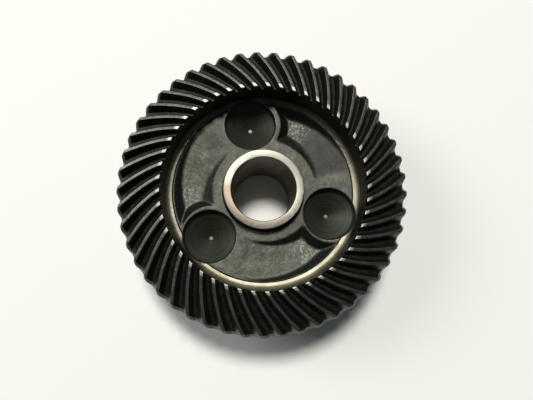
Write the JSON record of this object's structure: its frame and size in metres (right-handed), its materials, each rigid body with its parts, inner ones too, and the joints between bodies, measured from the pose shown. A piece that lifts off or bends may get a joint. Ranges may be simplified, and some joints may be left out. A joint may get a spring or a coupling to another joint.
{
  "type": "spiral bevel crown gear",
  "caption": "Spiral bevel crown wheel with left-hand teeth, a dished web with lock-pin pockets and lead-in ramps, and a ground steel sleeve pressed into its hub.",
  "frame": {"origin": "centre of the bore, on the plane of the hub's back end face", "axes": "+Z along the bore axis, towards the tooth side; +X passes through the land of one tooth near its toe, and one lock-pin pocket lies 101 degrees from +X towards +Y"},
  "size_m": [0.075, 0.075, 0.0274],
  "materials": {
    "forged_steel": "dark heat-treated forging, fine grain, worn grey on the tooth tops",
    "ground_steel": "ground, light brown stains"
  },
  "bodies": {
    "root": {"gear_wheel": "forged_steel", "hub_sleeve": "ground_steel"}
  },
  "joints": []
}
